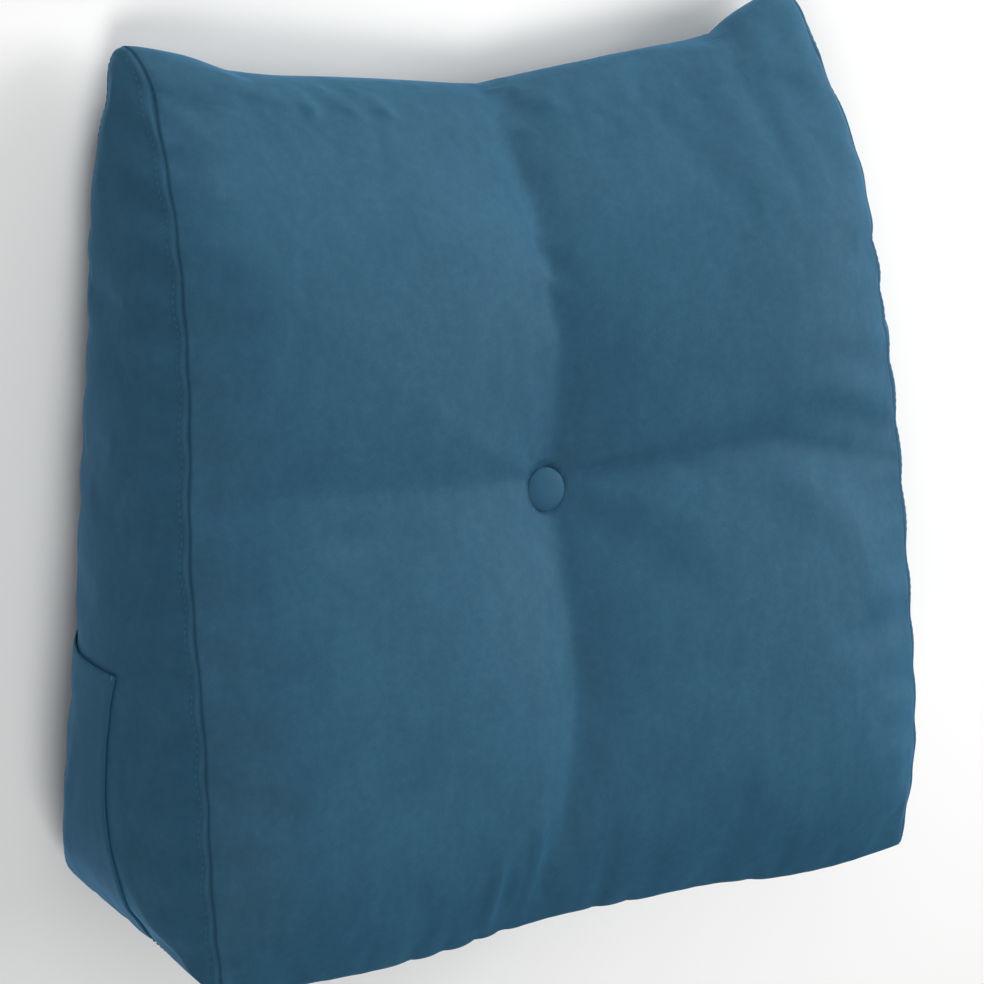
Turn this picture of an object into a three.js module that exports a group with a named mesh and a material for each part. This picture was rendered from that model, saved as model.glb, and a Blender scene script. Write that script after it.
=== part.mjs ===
// A wedge-shaped back cushion in velvet, lying on its flat back panel.
// It is made of three pieces: the filled wedge body, one covered tuft button in the
// middle of the front panel, and a flat patch pocket low on the left side panel.
// Millimetres. +X runs across the width, +Y from the base panel to the rounded top edge,
// +Z from the back panel, which lies on the floor, to the front panel.
import * as THREE from "three";
import { mergeVertices } from "three/addons/utils/BufferGeometryUtils.js";

// Seams of a side panel, a row for each height over the base seam: how high the front and
// back seams stand over the floor, and how far they stand from the middle of the width
const SIDE_ROWS = [
  { up: 0, frontZ: 187.2, frontHalf: 225, backZ: 15, backHalf: 223.2 },
  { up: 55.8, frontZ: 183.8, frontHalf: 231.8, backZ: 14, backHalf: 223.3 },
  { up: 136.8, frontZ: 169.9, frontHalf: 231.7, backZ: 14, backHalf: 221.7 },
  { up: 228.1, frontZ: 147.1, frontHalf: 231, backZ: 14, backHalf: 221.8 },
  { up: 319.3, frontZ: 126.2, frontHalf: 224, backZ: 14, backHalf: 220.9 },
  { up: 393.3, frontZ: 98.1, frontHalf: 218.4, backZ: 14, backHalf: 221.6 },
  { up: 456, frontZ: 53.5, frontHalf: 210.3, backZ: 15, backHalf: 214.6 },
];
const NOSE_START = 456; // height at which the rounded top edge begins
const NOSE_FRONT_PULL = 21; // how far the rounding carries on from the front and the back
const NOSE_BACK_PULL = 30;
const NOSE_BOW_DEPTH = 95; // the lines of a side panel bend to follow the nose over this depth

// How far the top edge is drawn down between its two corners, a row for each place across
const TOP_SAG = [
  { across: -1, sag: 0 },
  { across: -0.88, sag: 15 },
  { across: -0.72, sag: 26.2 },
  { across: -0.5, sag: 34.3 },
  { across: -0.1, sag: 43.7 },
  { across: 0.14, sag: 43.5 },
  { across: 0.56, sag: 35.6 },
  { across: 0.74, sag: 29.7 },
  { across: 0.82, sag: 19.1 },
  { across: 0.92, sag: 7.7 },
  { across: 1, sag: 0 },
];
const SAG_REACH = 150; // the sag has faded out this far below the top edge

// How far the front seam of the base hangs below its corners, a row for each place across
const BASE_DROP = [
  { across: -1, drop: 0 },
  { across: -0.6, drop: 4 },
  { across: -0.35, drop: 2.6 },
  { across: -0.1, drop: -4 },
  { across: 0.15, drop: -2.8 },
  { across: 0.4, drop: -2.2 },
  { across: 0.6, drop: 3 },
  { across: 0.8, drop: 4 },
  { across: 1, drop: 0 },
];
const DROP_REACH = 70; // the drop has faded out this far above the seam
const DROP_START = 0.75; // and on the base panel it starts at this share of the depth

// The soft valley that runs up the front through the button, a row for each height
const UPRIGHT_VALLEY = [
  { up: 0, x: -42, depth: 12, spread: 38 },
  { up: 70, x: -20, depth: 13, spread: 44 },
  { up: 140, x: -10, depth: 14.5, spread: 38 },
  { up: 238, x: -5, depth: 19, spread: 58 },
  { up: 290, x: 2, depth: 21, spread: 74 },
  { up: 350, x: 3, depth: 18, spread: 64 },
  { up: 410, x: 3, depth: 12, spread: 32 },
  { up: 470, x: 3, depth: 8.5, spread: 38 },
];
// The soft valley that crosses the front through the button, a row for each place across
const CROSS_VALLEY = [
  { across: -1, up: 260, depth: 7, spread: 38 },
  { across: -0.6, up: 255, depth: 10.2, spread: 56 },
  { across: -0.25, up: 248, depth: 13, spread: 60 },
  { across: 0, up: 246, depth: 17, spread: 38 },
  { across: 0.25, up: 244, depth: 12, spread: 30 },
  { across: 0.6, up: 246, depth: 12, spread: 38 },
  { across: 1, up: 222, depth: 12, spread: 60 },
];
const FOLD_RADIUS = 9;
const VALLEY_MEETING = 0.2; // share of the shallower valley that is added where they meet
const FRONT_CROWN = 21; // height of the four filled lobes over the seams
const FRONT_RISE = 105; // distance from a seam in which the front reaches its crown
const FRONT_ROUNDING = 3.3; // a larger number rounds the front more sharply at its seams
const NOSE_CROWN = 7;
const NOSE_RISE = 66;
const SIDE_CROWN_SHARE = 0.169; // bulge of a side panel, as a share of its depth there
const SIDE_RISE_SHARE = 0.5;
const BASE_CROWN = 11.5;
const BASE_RISE = 40;
const BACK_RISE = 24;

// Felled seam round each side panel: a ditch at the seam, then a raised band
const DITCH_WIDTH = 1.6;
const BAND_FLAT_END = 4.6;
const BAND_END = 6;
const BAND_HEIGHT = 1.2;

// Puckers where the seams gather the cloth
const PUCKER_PITCH = 31;
const PUCKER_DRIFT = 2.2; // the pitch wanders by this many radians
const PUCKER_DRIFT_LENGTH = 67;
const PUCKER_HEIGHT = 0.9; // on the side panels
const PUCKER_FRONT_SHARE = 0.35; // of that height, on the front panel
const PUCKER_OFFSET = 17; // the puckers stand highest this far from a seam
const SEAM_WAVE = 0.5;

// Button, and the square of cloth that is pulled flat beneath it
const BUTTON_X = -7;
const BUTTON_UP = 239;
const BUTTON_RADIUS = 12;
const BUTTON_EDGE = 3.2;
const BUTTON_DOME = 2.6;
const BUTTON_GAP = 0.3;
const BUTTON_DIMPLE = 9;
const BUTTON_DIMPLE_SPREAD = 24;
const SEAT_HALF = 12.6;
const SEAT_LIFT = 2.5; // the gathered cloth under the button stands this high in the dimple

// Pocket on the left side panel: its free front edge, a row for each height
const POCKET_EDGE = [
  { up: 0, fromBack: 0.64 },
  { up: 40, fromBack: 0.665 },
  { up: 85, fromBack: 0.585 },
  { up: 135, fromBack: 0.6 },
  { up: 156, fromBack: 0.66 },
];
const POCKET_INSET = 10; // how far the patch starts from the back and base seams
const POCKET_MOUTH = 155; // height of the mouth over the base seam
const POCKET_GAP = 1.15;
const POCKET_THICKNESS = 1.5;
const POCKET_COLUMNS = 10;
const POCKET_ROWS = 20;

// Mesh lines: the seams, the band and the cloth under the button each have their own
const BUTTON_LINES = [0, 6.2, 12.4, 19.5];
const OUTER_COLUMNS = 9;
const LOWER_ROWS = 27;
const UPPER_ROWS = 25;
const SIDE_COLUMNS = 6;
const SEAM_LINES = [DITCH_WIDTH, BAND_FLAT_END, BAND_END];

const VELVET_BLUE = 0x3c6680;
const WELD = 1e-3; // points closer than this are the same point

function lerp(a, b, share) {
  return a + (b - a) * share;
}

function clamped(value) {
  return Math.min(Math.max(value, 0), 1);
}

function eased(share) {
  return share * share * (3 - 2 * share);
}

// A smooth curve through one column of a table, by cubic pieces
function alongTable(rows, key, column, at) {
  const last = rows.length - 1;
  const place = Math.min(Math.max(at, rows[0][key]), rows[last][key]);
  let row = 0;
  while (row < last - 1 && place > rows[row + 1][key]) row += 1;
  const slope = (index) => {
    const before = rows[Math.max(index - 1, 0)];
    const after = rows[Math.min(index + 1, last)];
    return (after[column] - before[column]) / (after[key] - before[key]);
  };
  const start = rows[row];
  const end = rows[row + 1];
  const span = end[key] - start[key];
  const t = (place - start[key]) / span;
  const tailOff = 1 - t;
  return (
    lerp(start[column], end[column], eased(t)) +
    t * tailOff * tailOff * span * slope(row) -
    t * t * tailOff * span * slope(row + 1)
  );
}

// 0 at a seam, 1 once the cloth has risen to its crown
function rise(distance, reach, rounding = 3) {
  return 1 - (1 - clamped(distance / reach)) ** rounding;
}

function bell(distance, spread) {
  return Math.exp(-((distance / spread) ** 2));
}

// 1 along the bottom of a fold in filled cloth, falling away to either side of it
function fold(distance, spread) {
  return Math.exp((FOLD_RADIUS - Math.hypot(distance, FOLD_RADIUS)) / spread);
}

// Waves along a seam, at a pitch that wanders as it does in sewn cloth
function wave(along) {
  const drift = PUCKER_DRIFT * Math.sin(along / PUCKER_DRIFT_LENGTH);
  return Math.sin((2 * Math.PI * along) / PUCKER_PITCH + drift);
}

function pucker(along, fromSeam) {
  return PUCKER_HEIGHT * wave(along) * bell(fromSeam - PUCKER_OFFSET, PUCKER_OFFSET);
}

// Lines across the front, as shares of the half width: from the button to one side seam
function columnShares(side) {
  const half = sideRow(BUTTON_UP).frontHalf;
  const near = BUTTON_LINES.map((line) => (BUTTON_X + side * line) / half);
  const first = near[near.length - 1];
  for (let column = 1; column <= OUTER_COLUMNS; column += 1) {
    near.push(lerp(first, side, Math.sin((Math.PI / 2) * (column / OUTER_COLUMNS))));
  }
  return near;
}

// Heights of the mesh rows over the base seam, one of them through the button
function rowHeights() {
  const nearButton = BUTTON_LINES[BUTTON_LINES.length - 1];
  const lower = [];
  const upper = [];
  for (let row = 0; row < LOWER_ROWS; row += 1) {
    lower.push(lerp(BAND_END, BUTTON_UP - nearButton, row / LOWER_ROWS));
  }
  for (let row = 1; row <= UPPER_ROWS; row += 1) {
    upper.push(lerp(BUTTON_UP + nearButton, NOSE_START - BAND_END, row / UPPER_ROWS));
  }
  const below = BUTTON_LINES.slice(1).reverse().map((line) => BUTTON_UP - line);
  const above = BUTTON_LINES.map((line) => BUTTON_UP + line);
  const inBand = SEAM_LINES.slice(0, -1);
  const underNose = inBand.map((line) => NOSE_START - line).reverse();
  return [0, ...inBand, ...lower, ...below, ...above, ...upper, ...underNose, NOSE_START];
}

// Mesh lines of a side panel as shares of its depth, from the back seam to the front seam
function sideShares(depth) {
  const near = [0, ...SEAM_LINES].map((line) => line / depth);
  const first = near[near.length - 1];
  const middle = [];
  for (let column = 1; column < SIDE_COLUMNS; column += 1) {
    middle.push(lerp(first, 1 - first, column / SIDE_COLUMNS));
  }
  return [...near, ...middle, ...near.map((share) => 1 - share).reverse()];
}

function sideRow(up) {
  const column = (name) => alongTable(SIDE_ROWS, "up", name, up);
  const row = { frontZ: column("frontZ"), backZ: column("backZ") };
  row.frontHalf = column("frontHalf") + SEAM_WAVE * wave(up);
  row.backHalf = column("backHalf") + SEAM_WAVE * wave(up + PUCKER_OFFSET);
  row.depth = row.frontZ - row.backZ;
  return row;
}

// Direction of the front seam in the plane of a side panel
function frontDirection(up) {
  const step = 4;
  const low = Math.max(up - step, 0);
  const high = Math.min(up + step, NOSE_START);
  return new THREE.Vector2(high - low, sideRow(high).frontZ - sideRow(low).frontZ).normalize();
}

// The rounding of the top edge, which carries on smoothly from the front and back panels
const noseRow = sideRow(NOSE_START);
const noseFront = new THREE.Vector2(0, noseRow.frontZ);
const noseBack = new THREE.Vector2(0, noseRow.backZ);
const noseCurve = new THREE.CubicBezierCurve(
  noseBack,
  noseBack.clone().add(new THREE.Vector2(NOSE_BACK_PULL, 0)),
  noseFront.clone().addScaledVector(frontDirection(NOSE_START), NOSE_FRONT_PULL),
  noseFront,
);

// A side panel before it is filled: a point at a height and at a share from back to front
function sideFlat(up, share) {
  const row = sideRow(up);
  const bow = eased(clamped(1 - (NOSE_START - up) / NOSE_BOW_DEPTH));
  const nose = noseCurve.getPoint(share);
  const noseShare = (nose.y - noseRow.backZ) / noseRow.depth;
  return {
    half: lerp(row.backHalf, row.frontHalf, share),
    y: up + bow * nose.x,
    z: row.backZ + row.depth * lerp(share, noseShare, bow),
    depth: row.depth,
  };
}

// The seam all round a side panel, as points in the panel's own plane
function sideOutline() {
  const upward = 75;
  const round = 16;
  const points = [];
  for (let step = 0; step <= upward; step += 1) points.push(sideFlat((NOSE_START * step) / upward, 1));
  for (let step = 1; step < round; step += 1) points.push(sideFlat(NOSE_START, 1 - step / round));
  for (let step = upward; step >= 0; step -= 1) points.push(sideFlat((NOSE_START * step) / upward, 0));
  return points.map((point) => new THREE.Vector2(point.y, point.z));
}
const outline = sideOutline();

function distanceToSeam(y, z) {
  const place = new THREE.Vector2(y, z);
  let nearest = Infinity;
  outline.forEach((start, index) => {
    const along = outline[(index + 1) % outline.length].clone().sub(start);
    const share = clamped(place.clone().sub(start).dot(along) / along.lengthSq());
    nearest = Math.min(nearest, start.clone().addScaledVector(along, share).distanceTo(place));
  });
  return nearest;
}

function bandRelief(distance) {
  const upFromDitch = clamped(distance / DITCH_WIDTH);
  const downToPanel = clamped((BAND_END - distance) / (BAND_END - BAND_FLAT_END));
  return BAND_HEIGHT * Math.min(upFromDitch, downToPanel);
}

// A side panel, filled out sideways, with its felled seam. Points on the seam stay put.
function sidePoint(side, up, share) {
  const flat = sideFlat(up, share);
  const distance = distanceToSeam(flat.y, flat.z);
  const crown = flat.depth * SIDE_CROWN_SHARE * rise(distance, flat.depth * SIDE_RISE_SHARE);
  const pockets = eased(clamped((up - POCKET_MOUTH) / PUCKER_PITCH));
  const gathered = pucker(up, distance) * lerp(pockets, 1, eased(share));
  const onSeam = share === 0 || share === 1 || up === 0 || up === NOSE_START;
  const filled = onSeam ? 0 : crown + bandRelief(distance) + gathered;
  return new THREE.Vector3(side * (flat.half + filled), flat.y, flat.z);
}

function topSag(across, up) {
  const reach = clamped(1 - (NOSE_START - up) / SAG_REACH);
  return alongTable(TOP_SAG, "across", "sag", across) * eased(reach);
}

function baseDrop(across, fade) {
  return alongTable(BASE_DROP, "across", "drop", across) * eased(fade);
}

// How high the front panel stands over its seams
function frontCrown(x, across, up) {
  const fromSide = sideRow(up).frontHalf * (1 - Math.abs(across));
  const upright = (column) => alongTable(UPRIGHT_VALLEY, "up", column, up);
  const crossing = (column) => alongTable(CROSS_VALLEY, "across", column, across);
  const valleyUp = upright("depth") * fold(x - upright("x"), upright("spread"));
  const valleyAcross = crossing("depth") * fold(up - crossing("up"), crossing("spread"));
  const deeper = Math.max(valleyUp, valleyAcross) + VALLEY_MEETING * Math.min(valleyUp, valleyAcross);
  const dimple = BUTTON_DIMPLE * Math.exp(-Math.hypot(x - BUTTON_X, up - BUTTON_UP) / BUTTON_DIMPLE_SPREAD);
  const rounding = rise(fromSide, FRONT_RISE, FRONT_ROUNDING) * rise(up, FRONT_RISE, FRONT_ROUNDING);
  const filled = (FRONT_CROWN - deeper - dimple) * rounding;
  const gathered = PUCKER_FRONT_SHARE * pucker(up, fromSide) * clamped(up / FRONT_RISE);
  return filled + gathered * clamped(fromSide / DITCH_WIDTH);
}

function frontPoint(across, up) {
  const flat = sideFlat(up, 1);
  const x = across * flat.half;
  const along = frontDirection(up);
  const crown = frontCrown(x, across, up);
  const drawn = topSag(across, up) + baseDrop(across, clamped(1 - up / DROP_REACH));
  return new THREE.Vector3(x, flat.y - along.y * crown - drawn, flat.z + along.x * crown);
}

// The rounded top edge: the crown of the front panel runs out over it towards the back seam
function nosePoint(across, share) {
  const flat = sideFlat(NOSE_START, share);
  const front = sideFlat(NOSE_START, 1);
  const x = across * flat.half;
  const along = frontDirection(NOSE_START);
  const crown = frontCrown(across * front.half, across, NOSE_START) * eased(share);
  const inFromSide = rise(flat.half * (1 - Math.abs(across)), NOSE_RISE);
  const plump = NOSE_CROWN * inFromSide * Math.sin(Math.PI * share) ** 2;
  const y = flat.y - along.y * crown + plump - topSag(across, NOSE_START);
  return new THREE.Vector3(x, y, flat.z + along.x * crown);
}

// The back panel lies flat on the floor and curls up to its seams
function backPoint(across, up) {
  const flat = sideFlat(up, 0);
  const fromSide = flat.half * (1 - Math.abs(across));
  const down = rise(fromSide, BACK_RISE) * rise(up, BACK_RISE) * rise(NOSE_START - up, BACK_RISE);
  return new THREE.Vector3(across * flat.half, flat.y - topSag(across, up), flat.z * (1 - down));
}

// The base panel is filled out a little past its seams, and flat in the middle
function basePoint(across, share) {
  const flat = sideFlat(0, share);
  const fromSide = flat.half * (1 - Math.abs(across));
  const fromSeam = flat.depth * Math.min(share, 1 - share);
  const filled = BASE_CROWN * rise(fromSide, BASE_RISE) * rise(fromSeam, BASE_RISE);
  const drop = baseDrop(across, clamped((share - DROP_START) / (1 - DROP_START)));
  return new THREE.Vector3(across * flat.half, flat.y - filled - drop, flat.z);
}

// The button's place: the middle of the dimple, and the direction it faces
function buttonSeat() {
  const along = frontDirection(BUTTON_UP);
  const normal = new THREE.Vector3(0, -along.y, along.x);
  const centre = frontPoint(BUTTON_X / sideRow(BUTTON_UP).frontHalf, BUTTON_UP);
  return { centre: centre.addScaledVector(normal, SEAT_LIFT), normal };
}
const seat = buttonSeat();

// The front panel as it is sewn, pulled flat beneath the button
function tuftedPoint(across, up) {
  const point = frontPoint(across, up);
  if (Math.abs(point.x - BUTTON_X) > SEAT_HALF || Math.abs(up - BUTTON_UP) > SEAT_HALF) return point;
  return point.addScaledVector(seat.normal, -point.clone().sub(seat.centre).dot(seat.normal));
}

function gridOf(countA, countB, pointAt) {
  const grid = [];
  for (let a = 0; a < countA; a += 1) {
    grid.push([]);
    for (let b = 0; b < countB; b += 1) grid[a].push(pointAt(a, b));
  }
  return grid;
}

function addQuad(positions, corners) {
  for (const corner of [0, 1, 2, 0, 2, 3]) positions.push(...corners[corner].toArray());
}

// Covers a grid of points with faces on one side, or on the other side when it is turned
function addGrid(positions, grid, turned) {
  for (let a = 0; a + 1 < grid.length; a += 1) {
    for (let b = 0; b + 1 < grid[a].length; b += 1) {
      const corners = [grid[a][b], grid[a + 1][b], grid[a + 1][b + 1], grid[a][b + 1]];
      addQuad(positions, turned ? corners.reverse() : corners);
    }
  }
}

function weldedGeometry(positions) {
  const geometry = new THREE.BufferGeometry();
  geometry.setAttribute("position", new THREE.Float32BufferAttribute(positions, 3));
  return mergeVertices(geometry, WELD);
}

// The body is one closed skin of six panels that share the points of their seams
function bodyGeometry() {
  const across = [...columnShares(-1).slice(1).reverse(), ...columnShares(1)];
  const rows = rowHeights();
  const columns = across.length;
  const shares = rows.map((up) => sideShares(sideRow(up).depth));
  const depths = shares[0].length;
  const last = rows.length - 1;
  const positions = [];
  addGrid(positions, gridOf(columns, rows.length, (a, b) => tuftedPoint(across[a], rows[b])), false);
  addGrid(positions, gridOf(columns, rows.length, (a, b) => backPoint(across[a], rows[b])), true);
  addGrid(positions, gridOf(columns, depths, (a, b) => nosePoint(across[a], shares[last][b])), true);
  addGrid(positions, gridOf(columns, depths, (a, b) => basePoint(across[a], shares[0][b])), false);
  addGrid(positions, gridOf(rows.length, depths, (a, b) => sidePoint(1, rows[a], shares[a][b])), false);
  addGrid(positions, gridOf(rows.length, depths, (a, b) => sidePoint(-1, rows[a], shares[a][b])), true);
  return weldedGeometry(positions);
}

// The pocket is a sheet over the left side panel, which it clears by a small gap
function pocketPoint(a, b, lift) {
  const side = -1;
  const probe = 0.5;
  const across = a / POCKET_COLUMNS;
  const up = lerp(POCKET_INSET, POCKET_MOUTH, b / POCKET_ROWS);
  const depth = sideRow(up).depth;
  const share = lerp(POCKET_INSET / depth, alongTable(POCKET_EDGE, "up", "fromBack", up), across);
  const point = sidePoint(side, up, share);
  const alongUp = sidePoint(side, up + probe, share).sub(point);
  const alongDepth = sidePoint(side, up, share + probe / depth).sub(point);
  return point.addScaledVector(alongDepth.cross(alongUp).normalize(), lift);
}

function pocketGeometry() {
  const layer = (lift) => gridOf(POCKET_COLUMNS + 1, POCKET_ROWS + 1, (a, b) => pocketPoint(a, b, lift));
  const inner = layer(POCKET_GAP);
  const outer = layer(POCKET_GAP + POCKET_THICKNESS);
  const rim = (a, b) => [inner[a][b], outer[a][b]];
  const positions = [];
  addGrid(positions, outer, false);
  addGrid(positions, inner, true);
  addGrid(positions, outer.map((column, a) => rim(a, 0)), false);
  addGrid(positions, outer.map((column, a) => rim(a, POCKET_ROWS)), true);
  addGrid(positions, outer[0].map((point, b) => rim(0, b)), true);
  addGrid(positions, outer[0].map((point, b) => rim(POCKET_COLUMNS, b)), false);
  return weldedGeometry(positions);
}

// The covered button: a shallow dome, turned about its own axis
function buttonGeometry() {
  const around = 32;
  const arcSteps = 7;
  const bevel = 1;
  const profile = [new THREE.Vector2(0, 0), new THREE.Vector2(BUTTON_RADIUS - bevel, 0)];
  profile.push(new THREE.Vector2(BUTTON_RADIUS, bevel));
  for (let step = 0; step < arcSteps; step += 1) {
    const turn = (Math.PI / 2) * (step / arcSteps);
    const height = BUTTON_EDGE + BUTTON_DOME * Math.sin(turn);
    profile.push(new THREE.Vector2(BUTTON_RADIUS * Math.cos(turn), height));
  }
  profile.push(new THREE.Vector2(0, BUTTON_EDGE + BUTTON_DOME));
  return new THREE.LatheGeometry(profile, around);
}

function velvetMesh(name, geometry) {
  const material = new THREE.MeshStandardMaterial({ color: VELVET_BLUE, roughness: 0.9, metalness: 0 });
  const mesh = new THREE.Mesh(geometry, material);
  mesh.name = name;
  return mesh;
}

const cushion = new THREE.Group();
const button = velvetMesh("tuft_button", buttonGeometry());
button.position.copy(seat.centre).addScaledVector(seat.normal, BUTTON_GAP);
button.quaternion.setFromUnitVectors(new THREE.Vector3(0, 1, 0), seat.normal);
cushion.add(velvetMesh("cushion_body", bodyGeometry()), velvetMesh("side_pocket", pocketGeometry()), button);

// The origin is the middle of the footprint, on the floor
const box = new THREE.Box3().setFromObject(cushion, true);
const middle = box.getCenter(new THREE.Vector3());
cushion.position.set(-middle.x, -middle.y, -box.min.z);

export default cushion;
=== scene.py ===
# %% [markdown]
# # A velvet wedge back cushion
# The cushion is a wedge of fibre filling in a slate blue velvet cover. It has one covered
# button in the middle of its sloping front, a felled seam round each side panel, and a flat
# pocket low on its left side. Here it lies on its flat back panel on a pale floor, and the
# camera looks at it from the photograph's angle.

# %% Load the frame
import math

import bpy
import numpy as np
from mathutils import Matrix, Vector
from mathutils.bvhtree import BVHTree
from mathutils.interpolate import poly_3d_calc


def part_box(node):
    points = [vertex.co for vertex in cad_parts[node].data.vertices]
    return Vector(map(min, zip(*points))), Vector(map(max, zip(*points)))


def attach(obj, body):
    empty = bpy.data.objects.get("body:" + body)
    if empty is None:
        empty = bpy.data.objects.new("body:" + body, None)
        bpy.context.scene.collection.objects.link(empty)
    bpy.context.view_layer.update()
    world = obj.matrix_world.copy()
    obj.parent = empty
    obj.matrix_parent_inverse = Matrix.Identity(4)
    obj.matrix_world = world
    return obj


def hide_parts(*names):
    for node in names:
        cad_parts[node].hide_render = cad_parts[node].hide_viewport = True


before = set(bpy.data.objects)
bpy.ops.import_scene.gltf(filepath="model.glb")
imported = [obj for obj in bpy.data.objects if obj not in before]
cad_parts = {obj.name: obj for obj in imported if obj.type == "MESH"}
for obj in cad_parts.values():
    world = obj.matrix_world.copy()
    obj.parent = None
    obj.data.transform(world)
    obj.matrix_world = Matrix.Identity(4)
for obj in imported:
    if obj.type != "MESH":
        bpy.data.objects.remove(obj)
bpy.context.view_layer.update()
MM = 0.001


def in_scene(name, data):
    """A new object that shows this mesh, light or camera."""
    made = bpy.data.objects.new(name, data)
    bpy.context.scene.collection.objects.link(made)
    return made


print("solids:", sorted(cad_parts))

# %% [markdown]
# ## The camera
# A long lens far away flattens a picture, and a short one close by stretches it. The two side
# panels of the wedge converge only a little in the photograph, so this is a long lens. Its
# direction could be set by eye, but here it comes from angles: the camera's turn about the
# cushion's upright, its height over the front, and a small roll of the whole picture.

# %% Place the camera
CAMERA_TURN = math.radians(33.67)
CAMERA_RISE = math.radians(19.35)
CAMERA_ROLL = math.radians(3.43)
CAMERA_DISTANCE = 2.209
BASE_BULGE = 0.0120  # how far the base bulges out under its seams, which lie at BASE_Y
FRAME_PIXELS = 984
FOCAL_PIXELS = 4000
SENSOR_WIDTH = 36

body_low, body_high = (Vector(corner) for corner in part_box("cushion_body"))
CENTRE_X = (body_low.x + body_high.x) / 2
BASE_Y = body_low.y + BASE_BULGE
AIM = Vector((CENTRE_X - 0.0134, BASE_Y + 0.2225, 0.095))

turn_cos, turn_sin = math.cos(CAMERA_TURN), math.sin(CAMERA_TURN)
rise_cos, rise_sin = math.cos(CAMERA_RISE), math.sin(CAMERA_RISE)
TO_CAMERA = Vector((-turn_sin * rise_cos, rise_sin, turn_cos * rise_cos))
level_right = (-TO_CAMERA).cross(Vector((0, 1, 0))).normalized()
level_up = level_right.cross(-TO_CAMERA)
roll = Matrix.Rotation(CAMERA_ROLL, 3, TO_CAMERA)
PICTURE_RIGHT = roll @ level_right
PICTURE_UP = roll @ level_up

camera_data = bpy.data.cameras.new("camera")
camera_data.sensor_width = SENSOR_WIDTH
camera_data.lens = FOCAL_PIXELS / FRAME_PIXELS * SENSOR_WIDTH
camera = in_scene("camera", camera_data)
axes = Matrix((PICTURE_RIGHT, PICTURE_UP, TO_CAMERA)).transposed()
camera.matrix_world = Matrix.Translation(AIM + TO_CAMERA * CAMERA_DISTANCE) @ axes.to_4x4()
bpy.context.scene.camera = camera
print(f"lens {camera_data.lens:.1f} mm, camera at", [round(part, 3) for part in camera.location])

# %% [markdown]
# ## The cushion's pattern
# A maker cuts a cushion from paper patterns. The tables below do the same work: each row gives
# the sizes of the cover at one height, or at one place across it, and a smooth curve joins the
# rows. The alternative is to push points about by hand, but then no size could be changed
# later. The sizes, in millimetres, follow the solid model, and the narrow folds, pinches and
# gathers that only cloth makes are added to them.

# %% Pattern tables
def table(columns, *rows):
    """Rows of sizes under named columns, each row as a dictionary."""
    return [dict(zip(columns.split(), row)) for row in rows]


SIDE_ROWS = table(
    "up front_z front_half back_z back_half",
    (0, 187.2, 225, 15, 223.2),
    (55.8, 183.8, 231.8, 14, 223.3),
    (136.8, 169.9, 231.7, 14, 221.7),
    (228.1, 147.1, 231, 14, 221.8),
    (319.3, 126.2, 224, 14, 220.9),
    (393.3, 98.1, 218.4, 14, 221.6),
    (456, 53.5, 210.3, 15, 214.6),
)
TOP_SAG = table(
    "across sag",
    (-1, 0), (-0.88, 12.5), (-0.72, 25.6), (-0.5, 34.3), (-0.1, 43.7), (0.14, 43.5), (0.56, 35.6),
    (0.74, 29.7), (0.82, 19.1), (0.92, 7.7), (1, 0),
)
BASE_DROP = table(
    "across drop",
    (-1, 0), (-0.6, 4), (-0.35, 2.6), (-0.1, -4), (0.15, -2.8), (0.4, -2.2), (0.6, 3), (0.8, 4),
    (1, 0),
)
UPRIGHT_VALLEY = table(
    "up x depth spread",
    (0, -42, 12, 38),
    (70, -15, 14.5, 41),
    (140, -4.5, 16.5, 36),
    (238, -5, 19, 58),
    (290, 2, 21, 74),
    (350, 3, 18, 64),
    (410, 3, 12, 32),
    (470, 3, 8.5, 38),
)
CROSS_VALLEY = table(
    "across up depth spread",
    (-1, 260, 7, 38),
    (-0.6, 255, 10.2, 56),
    (-0.25, 248, 13, 60),
    (0, 246, 17, 38),
    (0.25, 244, 11.5, 30),
    (0.6, 246, 11, 38),
    (1, 222, 12, 60),
)
WRINKLES = table(
    "x up to_x to_up bow width height",
    (128, 234, 210, 138, 15, 15, 3),
    (150, 262, 226, 240, 4, 11, -1.4),
    (140, 277, 218, 262, 3, 10, 0.8),
    (-66, 4, -60, 50, 1, 4.5, 3),
    (-52, 4, -47, 44, 1, 4.5, 2.2),
    (-41, 4, -32, 68, 2, 5, 2.8),
    (10, 4, 14, 34, 1, 7, -2.2),
    (40, 4, 42, 30, 1, 8, -1.6),
    (-196, 477, -125, 464, 0, 5, 2),
    (-132, 473, -118, 461, 0, 3.5, 2),
    (-114, 475, -92, 463, 0, 3.5, 2.2),
    (-91, 475, -70, 463, 0, 3.5, 2.2),
    (16, 475, 38, 465, 0, 4, 1.8),
    (138, 484, 150, 380, 0, 18, 2),
    (186, 484, 196, 380, 0, 15, -4),
)
WRINKLE_END = 0.18  # share of a wrinkle's length over which it fades at each end
BASE_PINCHES = table(
    "x depth",
    (-109, 2), (-88, 2.6), (-67, 3.4), (-51, 3.4), (10, 1.5), (32, 1.6), (118, 1.2),
)
PINCH_WIDTH = 5.5
PINCH_FADE = 6
RIGHT_GATHERS = table(
    "up depth",
    (349, 2.2), (322, 1.8), (302, 1.8), (281, 0.9),
)
GATHER_WIDTH = 5
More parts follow.
